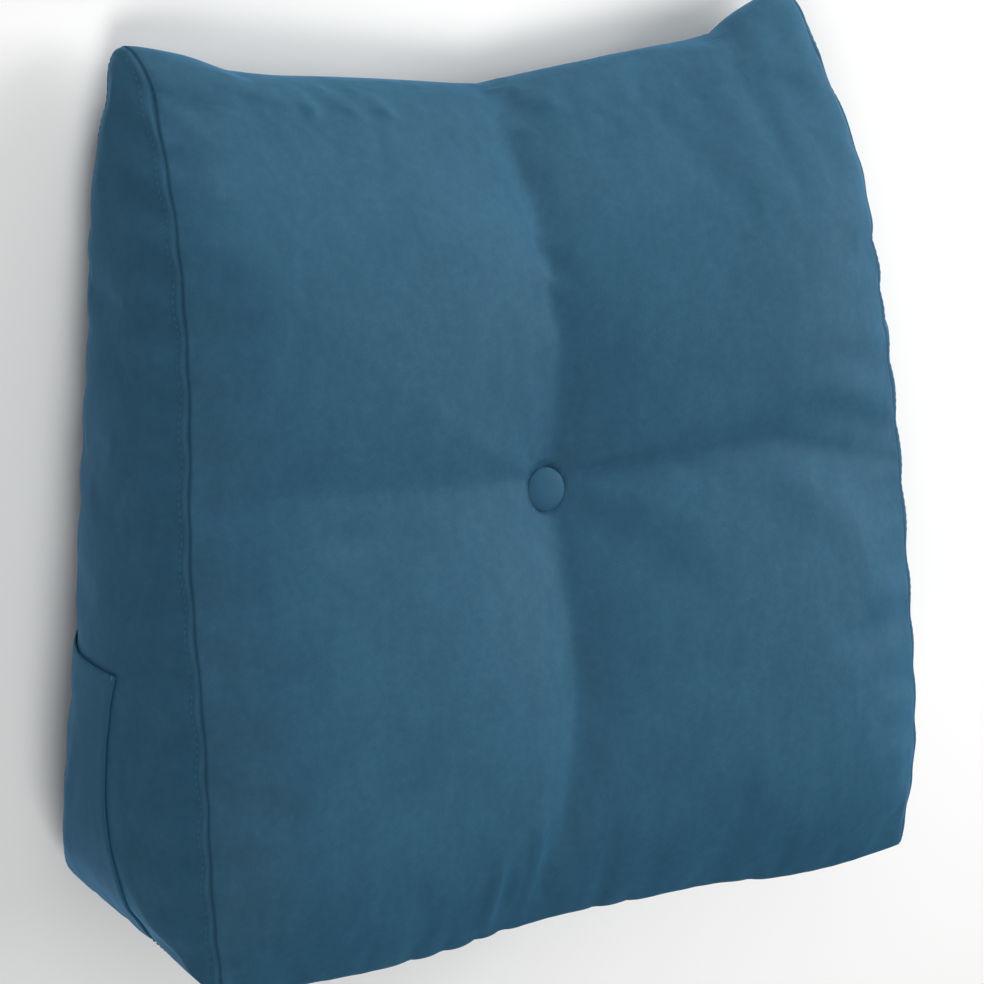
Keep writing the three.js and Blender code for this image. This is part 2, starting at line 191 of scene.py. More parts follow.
# 1 where the front rolls over the right seam, below 0 where the side panel stands out
RIGHT_ROLL = table(
    "up roll",
    (0, 0.3), (110, 0), (160, -0.8), (285, -0.8), (340, 0), (385, 1), (456, 1),
)
RIGHT_ROLL_HEIGHT = 2.4
RIGHT_ROLL_WIDTH = 13
RIGHT_ROLL_OUT = 1.5
NOSE_START = 456
NOSE_FRONT_PULL = 21
NOSE_BACK_PULL = 30
NOSE_BOW_DEPTH = 95
SAG_REACH = 150
DROP_REACH = 70
DROP_START = 0.75
FOLD_RADIUS = 4.5
VALLEY_MEETING = 0.2
FRONT_CROWN = 21
FRONT_RISE = 105
FRONT_ROUNDING = 3.3
NOSE_CROWN = 7
NOSE_RISE = 66
NOSE_LENGTH = 65  # over the rounded top, from the front panel's last row to the back seam
SIDE_CROWN_SHARE = 0.169
SIDE_RISE_SHARE = 0.5
BASE_CROWN = 11.5
BASE_RISE = 40
BASE_FRONT_SHARE = 0.4  # the base fills out this much more slowly from its front seam
BACK_RISE = 24
SEAM_WAVE = 0.3
PUCKER_HEIGHT = 2.0
PUCKER_OFFSET = 15
PUCKER_CLEAR = 6
PUCKER_FROM = 0.375  # share of the side panel's depth from which its puckers grow to the front
PUCKER_FRONT_SHARE = 0.3
PUCKER_RIGHT_SHARE = 0.25  # the right side panel is pulled smoother than the left one
WAVE_PITCH = 31
WAVE_DRIFT = 2.2
WAVE_DRIFT_LENGTH = 67
WAVE_OFFSET = 17
BUTTON_X = -8.5
BUTTON_UP = 239
BUTTON_RADIUS = 12
BUTTON_DIMPLE = 9
BUTTON_DIMPLE_SPREAD = 24


# %% Curves through the tables
def clamped(value):
    return np.clip(value, 0, 1)


def eased(share):
    return share * share * (3 - 2 * share)


def faded(value, start, end):
    """0 before the start and 1 past the end, with a soft change between."""
    return eased(clamped((value - start) / (end - start)))


def lerp(a, b, share):
    return a + (b - a) * share


def curve(values, slopes, row, t, span):
    """A smooth curve from one value to the next, t of the way along the span between them."""
    straight = lerp(values[row], values[row + 1], eased(t))
    leaving = t * (1 - t) ** 2 * span * slopes[row]
    return straight + leaving - t * t * (1 - t) * span * slopes[row + 1]


def along_table(rows, column, at):
    """A smooth curve through one column of a table, over the table's first column."""
    keys = np.array([list(row.values())[0] for row in rows], float)
    values = np.array([row[column] for row in rows], float)
    before, after = np.roll(values, 1), np.roll(values, -1)
    key_before, key_after = np.roll(keys, 1), np.roll(keys, -1)
    before[0], key_before[0] = values[0], keys[0]
    after[-1], key_after[-1] = values[-1], keys[-1]
    slopes = (after - before) / (key_after - key_before)
    place = np.clip(at, keys[0], keys[-1])
    row = np.clip(np.searchsorted(keys, place) - 1, 0, len(keys) - 2)
    span = keys[row + 1] - keys[row]
    return curve(values, slopes, row, (place - keys[row]) / span, span)


def read_table(rows, at):
    """Every other column of a table, by its name, where the first column is at these values."""
    return {name: along_table(rows, name, at) for name in list(rows[0])[1:]}


def rise(distance, reach, power=3):
    return 1 - (1 - clamped(distance / reach)) ** power


def bell(distance, spread):
    return np.exp(-((distance / spread) ** 2))


def fold(distance, spread):
    return np.exp((FOLD_RADIUS - np.hypot(distance, FOLD_RADIUS)) / spread)


def band(distance, start, full, falling, end):
    """The outline of a raised strip, which rises from start to full and ends at end."""
    return faded(distance, start, full) * (1 - faded(distance, falling, end))


def wave(along):
    return np.sin(2 * np.pi * along / WAVE_PITCH + WAVE_DRIFT * np.sin(along / WAVE_DRIFT_LENGTH))


print("half width at the button:", round(float(along_table(SIDE_ROWS, "front_half", BUTTON_UP)), 1))


# %% [markdown]
# ## The side panels and the rounded top
# A side panel is a long triangle with a rounded tip. Its outline is the seam that everything
# else hangs on. The tip is a Bezier curve whose handles carry on from the front and the back,
# so that the top edge rolls over without a crease. A plain half circle would leave one.

# %% Side panel outline
def side_row(up):
    values = read_table(SIDE_ROWS, up)
    values["front_half"] = values["front_half"] + SEAM_WAVE * wave(up)
    values["back_half"] = values["back_half"] + SEAM_WAVE * wave(up + WAVE_OFFSET)
    values["depth"] = values["front_z"] - values["back_z"]
    return values


def front_direction(up):
    """The way the front seam runs, as (y, z), in the plane of a side panel."""
    near = 4
    low, high = np.maximum(up - near, 0), np.minimum(up + near, NOSE_START)
    climb = side_row(high)["front_z"] - side_row(low)["front_z"]
    length = np.hypot(high - low, climb)
    return (high - low) / length, climb / length


def nose_curve(share):
    row = side_row(NOSE_START)
    along = front_direction(NOSE_START)
    weights = [(1 - share) ** 3, 3 * share * (1 - share) ** 2, 3 * share**2 * (1 - share), share**3]
    ys = [0, NOSE_BACK_PULL, along[0] * NOSE_FRONT_PULL, 0]
    zs = [row["back_z"], row["back_z"], row["front_z"] + along[1] * NOSE_FRONT_PULL, row["front_z"]]
    return sum(w * y for w, y in zip(weights, ys)), sum(w * z for w, z in zip(weights, zs))


def side_flat(up, share):
    """A side panel before it is filled: how far out, how far up, and how high it stands."""
    row = side_row(up)
    nose_row = side_row(NOSE_START)
    bow = faded(up, NOSE_START - NOSE_BOW_DEPTH, NOSE_START)
    nose_y, nose_z = nose_curve(share)
    nose_share = (nose_z - nose_row["back_z"]) / nose_row["depth"]
    half = lerp(row["back_half"], row["front_half"], share)
    return half, up + bow * nose_y, row["back_z"] + row["depth"] * lerp(share, nose_share, bow)


def side_outline(height_steps=120, tip_steps=24):
    upward = np.linspace(0, NOSE_START, height_steps)
    over = np.linspace(1, 0, tip_steps)[1:-1]
    parts = [side_flat(upward, 1.0), side_flat(NOSE_START, over), side_flat(upward[::-1], 0.0)]
    return np.concatenate([np.stack([part[1], part[2] + 0 * part[1]], -1) for part in parts])


OUTLINE = side_outline()


def distance_to_seam(y, z):
    points = np.stack([y, z], -1)
    nearest = np.full(points.shape[:-1], np.inf)
    for start, end in zip(OUTLINE, np.roll(OUTLINE, -1, axis=0)):
        along = end - start
        share = clamped((points - start) @ along / (along @ along))
        foot = start + share[..., None] * along
        nearest = np.minimum(nearest, np.linalg.norm(points - foot, axis=-1))
    return nearest


around = np.linalg.norm(OUTLINE - np.roll(OUTLINE, -1, axis=0), axis=1).sum()
print("seam round a side panel:", round(float(around)), "mm")


# %% [markdown]
# ## The six panels
# The cover is thought of as a box of mesh lines: columns across the width, rows up the height
# and layers from back to front. Each outer face of that box is one sewn panel, and two panels
# share the points of the seam between them, so the skin is closed from the start. A remeshed
# lump would be closed too, but it would lose the lines that the seams need.

# %% Panel shapes
def pucker(along, from_seam):
    near_seam = bell(from_seam - PUCKER_OFFSET, PUCKER_OFFSET) * clamped(from_seam / PUCKER_CLEAR)
    return PUCKER_HEIGHT * wave(along) * near_seam


def rolled(up):
    return along_table(RIGHT_ROLL, "roll", up)


def shoulder(distance):
    return distance / RIGHT_ROLL_WIDTH * np.exp(1 - distance / RIGHT_ROLL_WIDTH)


def gathered(rows, at, width):
    """How far the cloth is drawn in by the gathers of a table, each sharp in its middle."""
    places = [row.values() for row in rows]
    return sum(depth * np.exp(-np.abs(at - place) / width) for place, depth in places)


def right_shift(up):
    """How far the right front seam stands out past the table, drawn in at its gathers."""
    return RIGHT_ROLL_OUT * rolled(up) - gathered(RIGHT_GATHERS, up, GATHER_WIDTH)


def edge_shift(across, up):
    """The right seam's shift, let into the front over the last tenth of the half width."""
    return right_shift(up) * clamped((across - 0.9) * 10) ** 2


def side_point(side, up, share, crown_scale):
    half, y, z = side_flat(up, share)
    depth = side_row(up)["depth"]
    distance = distance_to_seam(y, z)
    crown = depth * SIDE_CROWN_SHARE * crown_scale * rise(distance, depth * SIDE_RISE_SHARE)
    puckered = pucker(up, distance) * (PUCKER_RIGHT_SHARE if side > 0 else 1)
    crown = crown + puckered * faded(share, PUCKER_FROM, 1)
    if side > 0:
        rolled_back = RIGHT_ROLL_HEIGHT * rolled(up) * shoulder(distance)
        crown = crown + (right_shift(up) - rolled_back) * faded(share, 0.5, 1)
    return np.stack([side * (half + crown), y, z], -1)


def top_sag(across, up):
    return along_table(TOP_SAG, "sag", across) * faded(up, NOSE_START - SAG_REACH, NOSE_START)


def base_drop(across, fade):
    x = across * side_row(0.0)["front_half"]
    pinched = gathered(BASE_PINCHES, x, PINCH_WIDTH)
    return along_table(BASE_DROP, "drop", across) * eased(fade) - pinched * fade**PINCH_FADE


def wrinkled(x, up):
    """Soft ridges and, where the height is below 0, creases along bowed lines."""
    height = 0
    for from_x, from_up, to_x, to_up, bow, width, ridge in (row.values() for row in WRINKLES):
        run, climb = to_x - from_x, to_up - from_up
        length = math.hypot(run, climb)
        along = ((x - from_x) * run + (up - from_up) * climb) / length**2
        off = ((up - from_up) * run - (x - from_x) * climb) / length
        off = off - bow * 4 * clamped(along) * (1 - clamped(along))
        beyond = np.maximum(np.abs(along - 0.5) - (0.5 - WRINKLE_END), 0) * length
        height = height + ridge * bell(off, width) * bell(beyond, WRINKLE_END * length)
    return height


def front_crown(x, across, up, crown_scale, beyond=0):
    from_side = side_row(up)["front_half"] * (1 - np.abs(across))
    upright, crossing = read_table(UPRIGHT_VALLEY, up), read_table(CROSS_VALLEY, across)
    valley_up = upright["depth"] * fold(x - upright["x"], upright["spread"])
    valley_across = crossing["depth"] * fold(up - crossing["up"], crossing["spread"])
    deeper = np.maximum(valley_up, valley_across)
    deeper = deeper + VALLEY_MEETING * np.minimum(valley_up, valley_across)
    dimple = BUTTON_DIMPLE * np.exp(-np.hypot(x - BUTTON_X, up - BUTTON_UP) / BUTTON_DIMPLE_SPREAD)
    filled = FRONT_CROWN * crown_scale - deeper - dimple + wrinkled(x, up + beyond)
    filled = filled + PUCKER_FRONT_SHARE * pucker(up, from_side)
    for from_seam in (from_side, up):
        filled = filled * rise(from_seam, FRONT_RISE, FRONT_ROUNDING)
    over_seam = np.maximum(rolled(up), 0) * shoulder(from_side) * (across > 0)
    return filled + RIGHT_ROLL_HEIGHT * over_seam


def front_point(across, up, crown_scale):
    half, y, z = side_flat(up, 1.0)
    along_y, along_z = front_direction(up)
    crown = front_crown(across * half, across, up, crown_scale)
    drawn = top_sag(across, up) + base_drop(across, clamped(1 - up / DROP_REACH))
    x = across * half + edge_shift(across, up)
    return np.stack([x, y - along_z * crown - drawn, z + along_y * crown], -1)


def nose_point(across, share, crown_scale):
    half, y, z = side_flat(NOSE_START, share)
    front_half = side_flat(NOSE_START, 1.0)[0]
    along_y, along_z = front_direction(NOSE_START)
    beyond = NOSE_LENGTH * (1 - share)
    crown = front_crown(across * front_half, across, NOSE_START, crown_scale, beyond) * eased(share)
    plump = NOSE_CROWN * rise(half * (1 - np.abs(across)), NOSE_RISE) * np.sin(np.pi * share) ** 2
    drawn = top_sag(across, NOSE_START)
    x = across * half + edge_shift(across, NOSE_START) * faded(share, 0.5, 1)
    return np.stack([x, y - along_z * crown + plump - drawn, z + along_y * crown], -1)


def back_point(across, up):
    half, y, z = side_flat(up, 0.0)
    from_side = half * (1 - np.abs(across))
    down = rise(from_side, BACK_RISE) * rise(up, BACK_RISE) * rise(NOSE_START - up, BACK_RISE)
    return np.stack([across * half, y - top_sag(across, up), z * (1 - down)], -1)


def base_point(across, share):
    half, y, z = side_flat(0.0, share)
    depth = side_row(0.0)["depth"]
    from_seam = depth * np.minimum(share, BASE_FRONT_SHARE * (1 - share))
    filled = rise(half * (1 - np.abs(across)), BASE_RISE) * rise(from_seam, BASE_RISE)
    drop = base_drop(across, clamped((share - DROP_START) / (1 - DROP_START)))
    return np.stack([across * half, y - BASE_CROWN * filled - drop, z], -1)


# %% [markdown]
# ## Lines of the mesh
# The layers of a side panel keep their distance from the two seams in millimetres and share out
# what is left, so that a seam band is as wide at the tip as it is at the base.

# %% Place the mesh lines
SEAM_ZONE = 11  # millimetres beside a seam in which the layers keep their distance
SEAM_ZONE_LIMIT = 0.42  # share of a shallow panel's depth that one zone may take
PANEL_DEPTH = 150  # the depth that the layers' pitch is meant for


def share_at(depth, layer):
    """Turns a layer's place, -1 to 1 about the middle, into a share of the panel's depth."""
    zone = np.minimum(SEAM_ZONE / depth, SEAM_ZONE_LIMIT)
    inner = 0.5 + np.clip(layer, -0.5, 0.5) * (1 - 2 * zone)
    past = np.sign(layer) * (np.abs(layer) - np.clip(np.abs(layer), 0, 0.5)) * 2 * zone
    return inner + past


def spaced(start, end, pitch):
    return np.linspace(start, end, max(2, round(abs(end - start) / pitch) + 1))


def mesh_lines(pitch, seam_steps, button_steps):
    """Columns (shares of the half width), rows (heights) and layers for one density of mesh."""
    half = float(side_row(BUTTON_UP)["front_half"])
    near = np.array(seam_steps, float)
    button = np.array(button_steps, float)
    inner, outer = button[-1], half - near[-1]
    beyond = [spaced(inner, outer, pitch)[1:], (half - near[:-1])[::-1], [half]]
    right = np.concatenate([button, *beyond])
    moved = BUTTON_X * (1 - right / half)
    columns = np.concatenate([(moved - right)[:0:-1], right + moved])
    low = spaced(near[-1], BUTTON_UP - inner, pitch)
    high = spaced(BUTTON_UP + inner, NOSE_START - near[-1], pitch)
    middle = np.concatenate([BUTTON_UP - button[:0:-1], BUTTON_UP + button])
    top = [high[1:], (NOSE_START - near[:-1])[::-1], [NOSE_START]]
    rows = np.concatenate([[0], near[:-1], low[:-1], middle, *top])
    zone = np.concatenate([[0], near[near < SEAM_ZONE], [SEAM_ZONE]]) / SEAM_ZONE / 2
    steps = max(4, round(PANEL_DEPTH / pitch))
    layers = np.concatenate([zone - 1, np.linspace(-0.5, 0.5, steps + 1)[1:-1], (1 - zone)[::-1]])
    return columns / half, rows, layers


def side_shares(rows, layers):
    shares = share_at(side_row(rows)["depth"][:, None], layers[None, :])
    shares[:, 0], shares[:, -1] = 0.0, 1.0
    return shares


def skin_panels(lines, crown_scale=1.0):
    """The six panels as grids of points in millimetres."""
    columns, rows, layers = lines
    row_shares = side_shares(rows, layers)
    across, up = np.meshgrid(columns, rows, indexing="ij")
    side_up = np.repeat(rows[:, None], len(layers), axis=1)
    low_across, low_share = np.meshgrid(columns, row_shares[0], indexing="ij")
    high_across, high_share = np.meshgrid(columns, row_shares[-1], indexing="ij")
    return {
        "front": front_point(across, up, crown_scale),
        "back": back_point(across, up),
        "nose": nose_point(high_across, high_share, crown_scale),
        "base": base_point(low_across, low_share),
        "right": side_point(1, side_up, row_shares, crown_scale),
        "left": side_point(-1, side_up, row_shares, crown_scale),
    }


# For each panel, the direction of the box that it closes and the end of the box it lies at.
PANELS = {"front": (2, -1), "back": (2, 0), "nose": (1, -1)}
PANELS.update({"base": (1, 0), "right": (0, -1), "left": (0, 0)})
TURNED = ("back", "nose", "left")  # panels whose faces are turned round to look outward


def grid_faces(grid):
    """One face for every cell of a grid of point numbers."""
    return np.stack([grid[:-1, :-1], grid[1:, :-1], grid[1:, 1:], grid[:-1, 1:]], -1).reshape(-1, 4)


def join_panels(panels, lines):
    """One list of points and one of faces: points on a seam are shared by its two panels."""
    counts = [len(line) for line in lines]
    box = np.arange(math.prod(counts)).reshape(counts)
    keys = {name: np.take(box, end, direction) for name, (direction, end) in PANELS.items()}
    every_key = np.concatenate([keys[name].ravel() for name in panels])
    every_point = np.concatenate([panels[name].reshape(-1, 3) for name in panels])
    used, first = np.unique(every_key, return_index=True)
    index = {name: np.searchsorted(used, keys[name]) for name in panels}
    faces = [grid_faces(index[name])[:, :: -1 if name in TURNED else 1] for name in panels]
    return every_point[first], np.concatenate(faces), index


def mesh_object(name, points, faces, edges=()):
    """A new object from points in pattern millimetres, set in the shared frame."""
    mesh = bpy.data.meshes.new(name)
    placed = points * MM + np.array([CENTRE_X, BASE_Y, 0])
    mesh.from_pydata(placed.tolist(), edges, faces)
    mesh.polygons.foreach_set("use_smooth", np.ones(len(faces), bool))
    mesh.update()
    return in_scene(name, mesh)


COARSE = mesh_lines(pitch=7.5, seam_steps=[4, 9], button_steps=[0, 7, 13, 20])
print("coarse lines:", [len(line) for line in COARSE])

# %% [markdown]
# ## Filling the cover
# Real puckers come from a cover that is a little larger than its seams let it be, with filling
# that pushes from inside. Blender's cloth does just this: pressure blows the skin out, a
# negative shrink makes the cloth larger than the pattern, and pinned seams hold it. Sculpting
# each pucker would be the other way, and they would never look as if one cause made them all.

# %% Blow up the cover with cloth
FILL_FRAMES = 22
CLOTH = {
    "quality": 6,
    "mass": 0.3,
    "tension_stiffness": 20,
    "compression_stiffness": 20,
    "shear_stiffness": 8,
    "bending_stiffness": 6,
    "use_pressure": True,
    "uniform_pressure_force": 3.5,
    "vertex_group_mass": "held",
    "shrink_min": -0.01,
}
MOTION_CAP = 7.0
FILLING_SHARE = 0.5  # how much of the cloth's movement is kept over the pattern's own crown
START_CROWN = 0.95
CLOTH_UNEVENNESS = 0.08
BASE_HOLD = 0.6
BUTTON_HOLD = BUTTON_RADIUS + 8


def pinned_weights(panels, index, count):
    """1 where the cover is held, at its seams, button and back, and less on the base."""
    held = np.zeros(count)
    for name in panels:
        grid = index[name]
        for edge in (grid[0], grid[-1], grid[:, 0], grid[:, -1]):
            held[edge] = 1
    held[index["back"]] = 1
    held[index["base"]] = np.maximum(held[index["base"]], BASE_HOLD)
    front = panels["front"]
    near_button = np.hypot(front[..., 0] - BUTTON_X, front[..., 1] - BUTTON_UP) < BUTTON_HOLD
    held[index["front"][near_button]] = 1
    return held


def filled_panels(lines):
    start = skin_panels(lines, crown_scale=START_CROWN)
    points, faces, index = join_panels(start, lines)
    rng = np.random.default_rng(7)
    held = pinned_weights(start, index, len(points))
    rough = points + rng.normal(0, CLOTH_UNEVENNESS, points.shape) * (1 - held)[:, None]
    piece = mesh_object("rehearsal", rough, faces.tolist())
    group = piece.vertex_groups.new(name="held")
    for level in (BASE_HOLD, 1.0):
        group.add(np.flatnonzero(np.isclose(held, level)).tolist(), level, "REPLACE")
    cloth = piece.modifiers.new("filling", "CLOTH")
    for name, value in CLOTH.items():
        setattr(cloth.settings, name, value)
    cloth.settings.effector_weights.gravity = 0
    cloth.point_cache.frame_end = FILL_FRAMES
    for moment in range(1, FILL_FRAMES + 1):
        bpy.context.scene.frame_set(moment)
    result = piece.evaluated_get(bpy.context.evaluated_depsgraph_get())
    flat = np.empty(len(points) * 3)
    result.data.vertices.foreach_get("co", flat)
    bpy.context.scene.frame_set(1)
    after = (flat.reshape(-1, 3) - np.array([CENTRE_X, BASE_Y, 0])) / MM
    move = after - points
    length = np.linalg.norm(move, axis=1, keepdims=True)
    move *= MOTION_CAP * np.tanh(length / MOTION_CAP) / np.maximum(length, 1e-9)
    bpy.data.objects.remove(piece)
    print(f"cloth moved by up to {length.max():.1f} mm, mean {length.mean():.2f}")
    return {name: move[index[name]] for name in start}


FILLING_MOVES = filled_panels(COARSE)

# %% [markdown]
# ## From the rehearsal to the real cover
# The cloth was blown up on a coarse mesh, because a fine one would take many minutes. Its
# movement is now carried to a fine mesh by smooth curves along both directions of each panel,
# which keeps the folds round. Subdividing the coarse mesh would do that too, but the fine mesh
# also has narrow lines along the seams, and the sewn details need those.

# %% Carry the movement to the fine mesh
SEAM_STEPS = [0.6, 1.2, 1.9, 2.6, 3.1, 3.6, 4.1, 4.7, 5.5, 7.5]
FINE = mesh_lines(3.3, SEAM_STEPS, button_steps=[0, 2.5, 5, 7.5, 10, 12.4, 14.5, 17])


def resampled(values, old, new):
    """Smooth curves through values along the first axis, read at new places."""
    slopes = np.gradient(values, old, axis=0)
    row = np.clip(np.searchsorted(old, new) - 1, 0, len(old) - 2)
    span = old[row + 1] - old[row]
    t = (new - old[row]) / span
    return curve(values, slopes, row, t[:, None, None], span[:, None, None])


def carried(move, panel):
    first, second = (line for line in range(3) if line != PANELS[panel][0])
    along = resampled(move, COARSE[first], FINE[first])
    return resampled(along.transpose(1, 0, 2), COARSE[second], FINE[second]).transpose(1, 0, 2)


panels = skin_panels(FINE, crown_scale=START_CROWN)
for name in panels:
    panels[name] = panels[name] + FILLING_SHARE * carried(FILLING_MOVES[name], name)
skin_points, skin_faces, skin_index = join_panels(panels, FINE)
print("fine cover:", len(skin_points), "points,", len(skin_faces) * 2, "triangles")


# %% [markdown]
# ## Seams in the cover
# Each seam sinks into a narrow ditch, because its thread pulls two plump panels together. Round
# a side panel the spare cloth behind the seam is folded over and topstitched down, a felled
# seam, so a raised band with a row of stitches in it runs beside the ditch. The relief is a
# height over the skin that depends only on the distance from the seam. Separate strips laid on
# the cover could do it as well, but they would cast a gap where the real cloth is one.

# %% Raise the felled seams
DITCH_DEPTH = 0.85
DITCH_SPREAD = 0.6
BAND_START = 1.8
BAND_END = 5
BAND_EDGE = 1.2
BAND_HEIGHT = 0.55
STITCH_DISTANCE = 3.6
STITCH_DIP = 0.28
STITCH_SPREAD = 0.6
# Painted shade: how far it spreads from the seam, and how dark and wide it is in the stitch groove.
SEAM_SHADE_SPREAD = 0.65
STITCH_SHADE = 0.22  # how dark the painted shade in the stitch groove is, beside that in the seam
STITCH_SHADE_SPREAD = 0.7


def seam_distances(lines):
    """How far every point of each panel is from the nearest seam, in millimetres."""
    columns, rows, layers = lines
    across, up = np.meshgrid(columns, rows, indexing="ij")
    row_shares = side_shares(rows, layers)
    from_side = side_row(up)["front_half"] * (1 - np.abs(across))
    found = {"front": np.minimum(from_side, up)}
    found["back"] = np.minimum(found["front"], NOSE_START - up)
    for name, row in (("nose", -1), ("base", 0)):
        sides = side_row(rows[row])["front_half"] * (1 - np.abs(columns))[:, None]
        share = row_shares[row][None, :]
        depth = side_row(rows[row])["depth"]
        ends = depth * share if name == "nose" else depth * np.minimum(share, 1 - share)
        found[name] = np.minimum(sides, ends)
    _, y, z = side_flat(rows[:, None], row_shares)
    found["left"] = found["right"] = distance_to_seam(y, z)
    for name in ("left", "right"):
        for edge in (np.s_[0], np.s_[-1], np.s_[:, 0], np.s_[:, -1]):
            found[name][edge] = 0
    return found, np.stack([y, z], -1)


def relief(distance, on_side_panel):
    height = -DITCH_DEPTH * bell(distance, DITCH_SPREAD)
    if on_side_panel:
        raised = band(distance, DITCH_SPREAD, BAND_START, BAND_END - BAND_EDGE, BAND_END)
        height = height + BAND_HEIGHT * raised
        height = height - STITCH_DIP * bell(distance - STITCH_DISTANCE, STITCH_SPREAD)
    return height


def skin_normals(points, faces):
    a, b, c, d = (points[faces[:, corner]] for corner in range(4))
    facing = np.cross(c - a, d - b)
    normals = np.zeros_like(points)
    for corner in range(4):
        for axis in range(3):
            normals[:, axis] += np.bincount(faces[:, corner], facing[:, axis], len(points))
    return normals / np.maximum(np.linalg.norm(normals, axis=1, keepdims=True), 1e-12)


distances, SIDE_FLAT = seam_distances(FINE)
normals = skin_normals(skin_points, skin_faces)
heights = np.zeros(len(skin_points))
# Painted shade: how much each point's colour is darkened in the seam ditch and the stitch groove.
painted_shade = np.zeros(len(skin_points))
for name, grid in skin_index.items():
    side = name in ("left", "right")
    heights[grid] = relief(distances[name], side)
    in_groove = bell(distances[name] - STITCH_DISTANCE, STITCH_SHADE_SPREAD)
    painted_shade[grid] = bell(distances[name], SEAM_SHADE_SPREAD) + side * STITCH_SHADE * in_groove
skin_points = skin_points + normals * heights[:, None]
skin_points[:, 2] = np.maximum(skin_points[:, 2], 0)
print("seam relief from", round(heights.min(), 1), "to", round(heights.max(), 1), "mm")

# %% [markdown]
# ## The cover as a Blender object
# The dark line in a seam, in its stitch groove and round the button is painted shade. A point
# attribute records how much shade is painted at each point, and the velvet darkens its colour by
# it. The object replaces the plain solid and rides with it.

# %% Make the cover
FRONT_ABOVE = 60  # the front panel near the button is higher than this, and the back is lower
BUTTON_SHADE_OFFSET = 0.6  # how far outside the button's edge the painted shade is darkest
BUTTON_SHADE_SPREAD = 1.2

cover = mesh_object("velvet_cover", skin_points, skin_faces.tolist())
# The painted shade goes into a point attribute that the velvet reads.
painted_shade_attribute = cover.data.attributes.new("painted_shade", "FLOAT", "POINT")
on_front = skin_points[:, 2] > FRONT_ABOVE
from_button = np.hypot(skin_points[:, 0] - BUTTON_X, skin_points[:, 1] - BUTTON_UP) - BUTTON_RADIUS
# Painted shade in a narrow ring just outside the button's edge.
painted_shade = clamped(painted_shade + on_front * bell(from_button - BUTTON_SHADE_OFFSET, BUTTON_SHADE_SPREAD))
painted_shade_attribute.data.foreach_set("value", painted_shade)
print("cover:", len(cover.data.polygons), "faces")

# %% [markdown]
# ## Finding a place on a side panel
# The pocket and the stitches lie on the finished cover, but their patterns are drawn on the flat
# panel. The flat panel has the same faces as the finished one, so the face under a pattern point
# is found on the flat one, and the same place is read from the finished one. Casting a ray at
# the cover is the other way, but it would miss the stitch groove wherever the cloth has moved.

# %% Places on a side panel
skin_outward = skin_normals(skin_points, skin_faces)
flat_rows, flat_columns = SIDE_FLAT.shape[:2]
flat_grid = np.arange(flat_rows * flat_columns).reshape(flat_rows, flat_columns)
flat_faces = grid_faces(flat_grid).tolist()
flat_points = [Vector((y, z, 0)) for y, z in SIDE_FLAT.reshape(-1, 2)]
FLAT_PANEL = BVHTree.FromPolygons(flat_points, flat_faces)


def panel_places(panel, ys, zs):
    """Points and outward directions on a finished side panel, for places on the flat one."""
    grid = skin_index[panel].ravel()
    places, outward = [], []
    for y, z in zip(np.ravel(ys), np.ravel(zs)):
        foot, _, face, _ = FLAT_PANEL.find_nearest(Vector((y, z, 0)))
        corners = flat_faces[face]
        weights = np.array(poly_3d_calc([flat_points[corner] for corner in corners], foot))
        places.append(weights @ skin_points[grid[corners]])
        outward.append(weights @ skin_outward[grid[corners]])
    outward = np.array(outward)
    outward /= np.linalg.norm(outward, axis=1, keepdims=True)
    return np.array(places).reshape(*np.shape(ys), 3), outward.reshape(*np.shape(ys), 3)


# %% [markdown]
# ## The side pocket
# The pocket is a patch of the same velvet, sewn down beside the felled seam at the back and base.
# Its front edge is rolled over a narrow hem and its mouth is hemmed and left open. It is a grid of
# points laid over the side panel, with an inner and an outer layer, and the hems are raised in
# the outer one. A cloth drape would give a loose bag, while the real pocket is pulled flat.

# %% Lay the pocket on the side panel
POCKET_EDGE = table(
    "up from_back",
    (0, 0.59), (40, 0.65), (85, 0.585), (135, 0.6), (160, 0.65),
)
POCKET_INSET = 6.2
POCKET_MOUTH = 151.5
POCKET_MOUTH_RISE = 7.5  # from the back end of the mouth to its front end
POCKET_GAP = 0.35
POCKET_THICKNESS = 1.0
POCKET_PUFF = 1.0
MOUTH_HEM = 9
MOUTH_HEM_RISE = 1.2
EDGE_HEM = 7
EDGE_HEM_RISE = 1.5
HEM_HEIGHT = 0.2
HEM_FALL = 1.6
MOUTH_GAPE = 0.35
MOUTH_GAPE_SPREAD = 12
CREASE_HEIGHT = 1.2  # of one soft fold that runs up the pocket and leans forward
CREASE_FROM_BACK = 0.2
CREASE_LEAN = 0.2
CREASE_WIDTH = 7
CREASE_UP = 70
CREASE_LENGTH = 38


